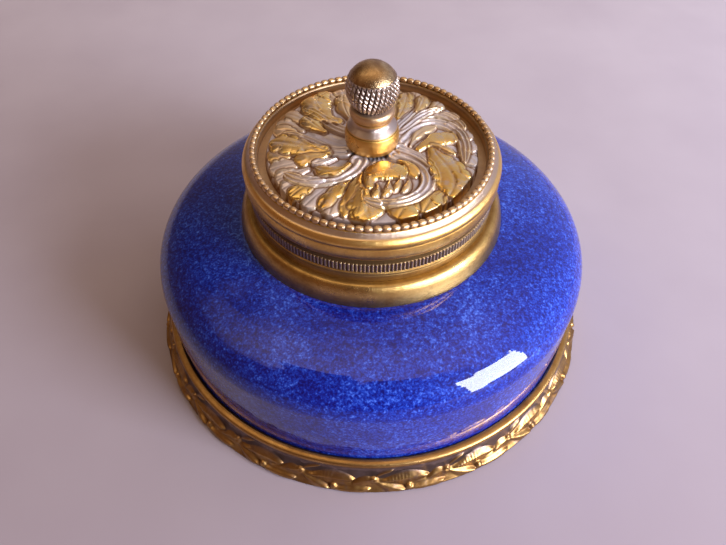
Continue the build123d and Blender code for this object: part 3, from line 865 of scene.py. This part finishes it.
# The acanthus whirl, leaf by leaf: mostly the outer lobes first, then the grooved stems that
# hook round them, then the lobes inside each hook. Each row is the kind of stroke, its half
# width, its height, how gilt it is (grey is 0), and a few points along it.
WHIRL = [
    # leaf at the back
    ("lobe", 1.8, 1.2, 0.5, (6.4, 18.0), (6.4, 21.6), (5.8, 25.4)),
    ("lobe", 1.8, 1.2, 0.5, (1.5, 18.5), (2.0, 22.0), (1.6, 25.8)),
    ("lobe", 1.8, 1.2, 0.6, (-2.2, 18.5), (-2.8, 22.0), (-3.2, 25.6)),
    ("stem", 1.7, 1.3, 0.1, (0.6, 7.4), (-1.4, 12.5), (-5.2, 17.0), (-9.0, 18.6)),
    ("lobe", 2.3, 1.4, 0.95, (3.6, 9.0), (4.8, 15.0), (3.6, 21.6)),
    ("lobe", 1.8, 1.4, 0.9, (0.2, 12.0), (0.2, 16.5), (-1.6, 22.0)),
    # leaf behind on the left
    ("lobe", 2.2, 1.2, 0.5, (-16.0, 9.6), (-20.2, 12.4), (-22.6, 13.0)),
    ("lobe", 2.2, 1.2, 0.6, (-14.0, 14.5), (-17.0, 17.6), (-19.0, 18.0)),
    ("lobe", 2.0, 1.2, 0.35, (-17.5, 6.4), (-21.8, 8.6), (-24.6, 9.2)),
    ("lobe", 2.0, 1.2, 0.6, (-9.0, 18.0), (-11.6, 21.6), (-12.4, 23.2)),
    ("lobe", 1.9, 1.2, 0.5, (-6.0, 18.5), (-7.4, 22.5), (-8.0, 24.8)),
    ("stem", 1.5, 1.25, 0.15, (-5.2, 4.6), (-9.6, 7.4), (-13.4, 11.4), (-17.4, 14.6)),
    ("lobe", 1.8, 1.4, 0.9, (-11.8, 5.4), (-15.0, 8.4), (-17.4, 11.6)),
    ("lobe", 1.6, 1.4, 0.7, (-5.4, 10.5), (-7.2, 16.0), (-7.4, 21.8)),
    ("lobe", 3.0, 1.6, 0.95, (-8.6, 9.6), (-13.2, 13.2), (-14.4, 18.6), (-11.2, 22.4)),
    # leaf on the left
    ("lobe", 1.8, 1.2, 0.6, (-18.0, 3.6), (-21.6, 6.0), (-25.0, 6.4)),
    ("lobe", 2.1, 1.2, 0.8, (-18.0, -2.2), (-22.4, -2.8), (-25.6, -3.4)),
    ("lobe", 2.2, 1.2, 0.3, (-16.5, -5.6), (-21.0, -7.4), (-24.6, -8.4)),
    ("lobe", 2.1, 1.2, 0.3, (-15.5, -8.6), (-20.0, -11.0), (-22.8, -12.2)),
    ("stem", 1.6, 1.3, 0.1, (-6.4, -3.2), (-11.6, -1.4), (-16.6, 2.4), (-22.4, 5.0)),
    ("lobe", 2.1, 1.4, 0.9, (-10.6, -3.4), (-15.0, -4.8), (-18.8, -5.6)),
    ("lobe", 2.7, 1.6, 0.95, (-11.6, -1.8), (-17.4, -0.8), (-21.5, 0.6), (-25.4, 1.8)),
    # leaf in front on the left
    ("lobe", 1.7, 1.2, 0.2, (-15.0, -11.5), (-19.0, -14.2), (-21.4, -15.4)),
    ("lobe", 1.8, 1.3, 0.25, (-7.0, -15.0), (-8.8, -20.0), (-9.8, -24.2)),
    ("lobe", 1.9, 1.2, 0.1, (-9.4, -13.8), (-12.8, -17.8), (-15.8, -21.2)),
    ("lobe", 1.7, 1.5, 1.0, (-11.8, -13.0), (-16.0, -15.6), (-19.0, -18.4)),
    ("lobe", 1.4, 1.3, 0.5, (-1.0, -12.4), (-2.2, -18.0), (-3.8, -25.2)),
    ("dome", 1.5, 1.6, 0.95, (-2.6, -10.6), (-4.4, -17.0), (-6.6, -24.6)),
    ("dome", 1.5, 1.6, 1.0, (-5.2, -12.6), (-8.6, -17.2), (-12.2, -22.2)),
    ("stem", 1.9, 1.35, 0.1, (-3.2, -6.6), (-6.6, -11.2), (-12.0, -13.2), (-17.0, -12.6), (-20.6, -10.4)),
    ("lobe", 1.0, 1.5, 0.2, (-8.6, -5.4), (-11.6, -6.6), (-14.6, -7.4)),
    ("lobe", 1.5, 1.6, 1.0, (-5.6, -7.8), (-9.4, -10.2), (-13.6, -8.6)),
    # leaf in front
    ("lobe", 1.5, 1.3, 0.9, (17.2, -16.4), (15.6, -18.8), (14.2, -21.0)),
    ("lobe", 2.5, 1.4, 1.0, (15.4, -16.8), (13.2, -19.6), (11.2, -23.2)),
    ("lobe", 2.8, 1.5, 1.0, (9.8, -18.6), (7.4, -21.8), (5.4, -25.2)),
    ("lobe", 3.0, 1.5, 1.0, (-2.2, -17.0), (-1.8, -21.2), (-0.6, -25.6)),
    ("stem", 0.9, 1.2, 0.05, (7.4, -3.8), (12.6, -6.4), (15.0, -11.0), (14.2, -16.0)),
    ("stem", 1.7, 1.45, 0.15, (5.6, -4.6), (11.0, -7.6), (13.2, -12.6),
     (10.4, -18.0), (4.0, -20.6), (-2.0, -19.4)),
    ("dome", 0.8, 1.4, 0.6, (8.6, -12.2), (8.2, -14.8), (6.6, -17.0)),
    ("dome", 0.8, 1.5, 0.7, (6.6, -12.0), (6.0, -14.6), (4.2, -17.0)),
    ("dome", 0.9, 1.5, 0.8, (3.8, -13.0), (3.6, -16.0), (2.0, -18.4)),
    ("dome", 0.9, 1.5, 0.8, (1.0, -14.0), (1.0, -16.8), (-0.2, -18.8)),
    ("dome", 1.2, 1.6, 0.95, (6.6, -6.6), (9.0, -8.8), (10.2, -12.2)),
    ("dome", 2.4, 2.0, 1.0, (-0.6, -15.0), (0.4, -11.2), (4.0, -10.0), (7.0, -12.8)),
    # leaf on the right
    ("lobe", 1.5, 1.2, 0.5, (17.0, 11.6), (20.0, 12.8), (22.8, 12.0)),
    ("lobe", 1.5, 1.2, 0.4, (19.0, 8.6), (21.8, 9.0), (24.2, 8.0)),
    ("lobe", 1.6, 1.2, 0.3, (20.6, 5.6), (23.0, 5.0), (25.4, 3.6)),
    ("lobe", 1.7, 1.2, 0.15, (21.0, 1.6), (23.6, 0.6), (25.8, -1.2)),
    ("lobe", 1.8, 1.2, 0.1, (21.4, -2.8), (23.6, -4.4), (25.0, -6.8)),
    ("lobe", 1.7, 1.2, 0.2, (20.8, -7.0), (22.6, -9.2), (23.6, -11.6)),
    ("lobe", 1.5, 1.2, 0.5, (19.4, -10.6), (21.2, -13.4), (21.4, -15.8)),
    ("stem", 1.7, 1.3, 0.05, (7.0, 3.4), (10.4, 9.6), (15.2, 13.2), (20.4, 11.6), (23.4, 6.8)),
    ("stem", 1.7, 1.4, 0.1, (7.0, 0.8), (10.4, 6.0), (15.4, 9.2), (20.2, 7.4), (22.6, 1.8), (22.2, -6.5)),
    ("stem", 1.2, 1.2, 0.05, (6.8, -2.0), (11.4, -4.6), (14.6, -8.6)),
    ("lobe", 1.0, 1.4, 0.6, (9.4, -0.6), (12.0, 4.0), (16.4, 7.4)),
    ("lobe", 3.3, 1.6, 1.0, (15.0, -1.4), (16.8, -6.4), (18.9, -11.8), (17.4, -18.0)),
    ("dome", 2.0, 1.8, 0.95, (11.4, -1.6), (15.0, 1.4), (18.2, 2.8), (20.8, 1.4)),
    ("dome", 0.9, 1.7, 0.7, (14.6, -0.4), (17.6, -1.4), (20.4, -3.4)),
    # leaf behind on the right
    ("lobe", 1.6, 1.2, 0.4, (10.4, 17.6), (11.6, 21.6), (11.6, 24.0)),
    ("lobe", 1.6, 1.2, 0.6, (15.0, 14.4), (17.2, 17.4), (18.6, 19.0)),
    ("stem", 1.3, 1.3, 0.1, (6.2, 4.6), (10.0, 8.6), (14.0, 13.2), (18.6, 15.4)),
    ("stem", 1.2, 1.3, 0.05, (5.4, 5.4), (8.0, 9.6), (11.0, 14.6), (12.6, 20.4)),
    ("lobe", 1.6, 1.4, 0.9, (6.8, 11.0), (8.8, 17.0), (9.4, 23.4)),
    ("lobe", 1.5, 1.4, 0.8, (11.6, 14.0), (13.4, 18.0), (14.2, 21.8)),
]


def acanthus():
    """The cast disc: a whirl of acanthus leaves on a low dome."""
    edge = radius("lid_dome")
    hole = 2.3
    crown = z_high("lid_dome")
    floor = z_low("lid_dome")
    relief = Relief(hole, edge, DISC_ROWS, DISC_SEGMENTS)
    for stroke in WHIRL:
        relief.lay(*stroke)
    r = relief.r[:, None]
    # The leaves grow out of one sheet that fills the gaps between them and is fluted along
    # the whirl; it stops short of the rim, so that the tips stand free.
    share = blurred(relief.cover, 10, 6)
    flutes = 0.07 * np.cos(36 * (relief.angle[None, :] + 0.045 * r))
    sheet = 0.4 * blurred(relief.height, 10, 6) / np.maximum(share, 0.2) + flutes
    sheet = sheet * smooth_step(edge + 0.5, edge - 0.5, r)
    field = blurred(np.maximum(relief.height, sheet) - 0.12 * relief.crease, 1)
    soft = blurred(field, 16)
    # Recesses lose their gilt and turn grey, partly dust and partly a painted reflection.
    gilt = blurred(relief.gilt, 3) * smooth_step(-0.35, 0.1, field - soft)
    cover = np.maximum(blurred(relief.cover, 2), smooth_step(edge - 0.05, edge - 0.6, r))
    dome = crown - 1.6 - 1.4 * (r / edge) ** 2 + 0.25 * smooth_step(9.5, 6.5, r)
    # The highest crests level off softly, just under the disc's highest point.
    limit, hardness = crown - 0.05 - dome, 6
    raised = field / (1 + (field / limit) ** hardness) ** (1 / hardness)
    ground = floor + 0.25
    rim_level = floor + 0.2
    top = ground + cover * (dome - ground) + raised
    top = rim_level + (top - rim_level) * np.sqrt(smooth_step(edge, edge - 0.4, r))
    # Painted shade: dark lines round the leaves, darker hollows under the softened surface, and dark gaps
    # near the rim. Raised parts are lighter, as wear and as a painted highlight.
    shade = 0.85 * relief.crease + np.clip((soft - field) * 1.5, 0, 0.7) + 0.85 * (1 - cover)
    worn = 0.7 * relief.worn + (field - soft) * 0.7
    vault = crown - 1.7
    under = [(edge, floor), (22.0, floor), (8.0, vault), (hole, vault)]
    radii = np.concatenate([relief.r, [u[0] for u in under]])[::-1, None]
    levels = np.concatenate([top] + [np.full((1, DISC_SEGMENTS), u[1]) for u in under])[::-1]
    points = np.stack([radii * np.cos(relief.angle), radii * np.sin(relief.angle), levels], -1)
    piece = grid_object(
        "acanthus_disc", points, False, shade=first_rows(shade, radii)[::-1],
        gilt=first_rows(gilt, radii)[::-1], worn=first_rows(worn, radii)[::-1])
    finish_piece(piece, "lid", "lid_dome", RELIEF)


# ---------------------------------------------------------------- knob
KNOB_BORE = 2.25


def knob_barrel():
    """A barrel with a groove above it, a flared stem and a neck ring."""
    low, high = z_low("knob_base"), z_high("knob_base")
    groove = low + 4.75
    outline = rounded([
        (KNOB_BORE, low), (6.3, low, 0.2), (6.75, low + 2.2, 2.0), (6.3, low + 4.5, 0.3), (6.0, groove, 0.1),
        (6.2, low + 5.0, 0.2), (5.5, low + 5.7, 0.6), (4.6, low + 6.6, 0.9), (4.5, low + 7.75, 0.2),
        (5.2, low + 8.2, 0.4), (5.45, low + 9.3, 0.8), (5.1, high - 0.3, 0.4), (4.2, high, 0.1),
        (KNOB_BORE, high)], spacing=0.4, arc_step=7)
    outline[:, 0] = np.minimum(outline[:, 0], radius("knob_base"))
    z = outline[:, 1]
    # Painted shade in the groove, at the foot, under the neck ring and at the top; the barrel is lighter, as
    # wear and as a painted highlight; the flare and the part above the ring get a pale tint, partly a
    # painted reflection.
    shade = 0.9 * ridge(groove, 0.16, z) + 0.7 * smooth_step(low + 0.7, low, z)
    shade = shade + 0.7 * ridge(low + 7.6, 0.4, z) + 0.9 * smooth_step(high - 0.5, high, z)
    worn = smooth_step(low + 0.8, low + 1.6, z) * smooth_step(low + 4.4, low + 3.6, z)
    film = 0.85 * smooth_step(low + 4.9, low + 5.4, z) * smooth_step(low + 7.4, low + 6.8, z)
    film = film + 0.35 * smooth_step(low + 8.0, low + 8.4, z)
    piece = turned("knob_barrel", outline, KNOB_SEGMENTS, shade=shade, worn=worn, film=film)
    finish_piece(piece, "lid", "knob_base", GILT)


def acorn_side(level):
    """The radius of the acorn's ball at each level."""
    size = radius("acorn_cup")
    centre = z_high("acorn_nut") - size
    return np.sqrt(np.maximum(size ** 2 - (level - centre) ** 2, 0))


def acorn_scales():
    """The acorn's cup, where two crossing families of grooves, one steeper, leave scales."""
    low, high = z_low("acorn_cup"), z_high("acorn_cup")
    socket, socket_floor = 4.6, 77.2
    starts, steep, shallow = 30, 18.0, 4.0
    depth = 0.6
    level = np.linspace(low, high, SCALE_ROWS)
    t = (level - low) / (high - low)
    side = np.stack([acorn_side(level), level], -1)
    inner = [[socket, high], [socket, socket_floor], [KNOB_BORE, socket_floor], [KNOB_BORE, low], [3.9, low]]
    outline = np.concatenate([side, inner])
    angle = np.arange(SCALE_SEGMENTS) * TAU / SCALE_SEGMENTS
    first = np.abs(np.sin(0.5 * starts * angle[None, :] + steep * t[:, None]))
    second = np.abs(np.sin(0.5 * starts * angle[None, :] - shallow * t[:, None]))
    scale = np.minimum(first, second) ** 0.75
    tall = smooth_step(0, 0.07, t) * smooth_step(1, 0.93, t)
    lift = first_rows(-depth * (1 - scale) * tall[:, None], outline)
    # Painted shade in the grooves between the scales; the scales' tops are lighter, as wear and as a painted
    # highlight.
    shade = first_rows(1.25 - 2.2 * scale, outline)
    worn = first_rows(smooth_step(0.55, 0.9, scale), outline)
    piece = turned("acorn_scales", outline, SCALE_SEGMENTS, lift, shade=shade, worn=worn)
    finish_piece(piece, "lid", "acorn_cup", BRONZE_SCALES)


def acorn_crown():
    """The smooth top of the acorn, on a shank with a blind hole for the stud."""
    seam, top = z_high("acorn_cup"), z_high("acorn_nut")
    hole, hole_top = 2.0, 81.4
    shank, shank_low = 4.55, 77.25
    rows = 36
    level = top - (top - seam) * (1 - np.sin(np.linspace(0, 1, rows) * math.pi / 2))
    cap = np.stack([acorn_side(level) - 0.06, level], -1)
    cap[-1] = (0, top)
    inner = [
        [0.0, hole_top], [hole, hole_top], [hole, shank_low], [shank, shank_low], [shank, seam],
        [cap[0, 0] - 0.2, seam]]
    outline = np.concatenate([inner, cap])
    blank = np.zeros(len(outline))
    piece = turned("acorn_crown", outline, KNOB_SEGMENTS, solid=True, shade=blank, worn=blank)
    finish_piece(piece, "lid", "acorn_nut", BRONZE)


# ---------------------------------------------------------------- plain CAD pieces
def plain_pieces():
    finishes = {
        "base_plate": PLAIN, "well_can": PLAIN, "lid_sleeve": PLAIN, "knob_washer": PLAIN, "knob_nut": PLAIN,
        "tie_rod": STEEL, "rod_washer": STEEL, "rod_nut": STEEL, "knob_stud": STEEL,
        "ink_cup": GLASS, "collar_gasket": CORK, "felt_pad": FELT}
    for node, material in finishes.items():
        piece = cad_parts[node]
        for index in range(len(piece.material_slots)):
            piece.material_slots[index].material = material


# ---------------------------------------------------------------- stage, light, camera
def stage():
    """A wide floor just under the foot."""
    size = 3.0
    steps = 60
    drop = 0.0001
    row = np.linspace(-size, size, steps)
    x, y = np.meshgrid(row, row)
    points = np.stack([x, y, 0 * x], -1).reshape(-1, 3)
    corners = np.arange(steps * steps).reshape(steps, steps)[:-1, :-1].reshape(-1, 1)
    mesh = bpy.data.meshes.new("floor")
    mesh.from_pydata(points.tolist(), [], (corners + [0, 1, steps + 1, steps]).tolist())
    floor = bpy.data.objects.new("floor", mesh)
    floor.location.z = -drop
    bpy.context.scene.collection.objects.link(floor)
    mesh.materials.append(floor_material())


def area_light(name, place, target, width, height, power, colour):
    data = bpy.data.lights.new(name, "AREA")
    data.shape = "RECTANGLE"
    data.size, data.size_y = width, height
    data.energy = power
    data.color = colour
    light = bpy.data.objects.new(name, data)
    light.location = place
    light.rotation_euler = (Vector(target) - Vector(place)).to_track_quat("-Z", "Y").to_euler()
    bpy.context.scene.collection.objects.link(light)
    return light


def lights():
    middle = (0, 0, 0.05)
    area_light("window", (0.5, -0.34, 0.23), middle, 0.31, 0.4, 8.6, (0.88, 0.93, 1.04))
    glow = area_light("side_glow", (0.64, 0.22, 0.2), middle, 0.45, 0.26, 1.5, (0.8, 0.9, 1.15))
    glow.visible_glossy = False
    soft_room()


def soft_room():
    """A warm dim room, pale towards the window, with a bright patch of ceiling overhead. Its
    near edge is the sharpest, and it wavers a little."""
    world = bpy.data.worlds.new("soft_room")
    n = Nodes(world, "Background")
    bpy.context.scene.world = world
    direction = n.add("ShaderNodeTexCoord").outputs["Generated"]
    x, y, z = n.split(direction)
    side = n.ramp(
        n.mapped(n.math("ADD", x, n.math("MULTIPLY", y, 0.6)), -1, 1, 0, 1),
        (0.1, (0.18, 0.085, 0.04)), (0.35, (0.1, 0.06, 0.04)), (0.52, (0.18, 0.12, 0.1)),
        (0.7, (0.54, 0.42, 0.36)), (0.95, (0.62, 0.6, 0.7)))
    up = n.math("MAXIMUM", z, 0.02)
    across = n.math("DIVIDE", x, up)
    along = n.math("DIVIDE", y, up)
    folds = n.noise(direction, 5, 1, 0.5)
    along = n.math("ADD", along, n.math("MULTIPLY", n.math("SUBTRACT", folds, 0.5), 0.6))
    near_edge = n.mapped(along, -0.42, -0.35, 0, 1)
    far_edge = n.mapped(along, 0.0, 0.6, 1, 0)
    left_edge = n.mapped(across, -1.5, -0.5, 0, 1)
    right_edge = n.mapped(across, 0.5, 1.3, 1, 0)
    depth = n.math("MULTIPLY", near_edge, far_edge)
    breadth = n.math("MULTIPLY", left_edge, right_edge)
    n.set(Color=n.mix(n.math("MULTIPLY", depth, breadth), side, (1.4, 1.04, 0.68)), Strength=1.0)


def camera():
    data = bpy.data.cameras.new("camera")
    data.sensor_width = 36.0
    data.lens = 34.71
    data.clip_start = 0.01
    item = bpy.data.objects.new("camera", data)
    item.location = (-0.00217, -0.1368, 0.16995)
    item.rotation_euler = (math.radians(41.3), 0, 0)
    bpy.context.scene.collection.objects.link(item)
    bpy.context.scene.camera = item


ceramic_body()
base_ring()
laurel_band()
collar_foot()
collar_neck()
lid_rim()
bead_ring()
acanthus()
knob_barrel()
acorn_scales()
acorn_crown()
plain_pieces()
stage()
lights()
camera()
bpy.context.scene.view_settings.view_transform = "Standard"
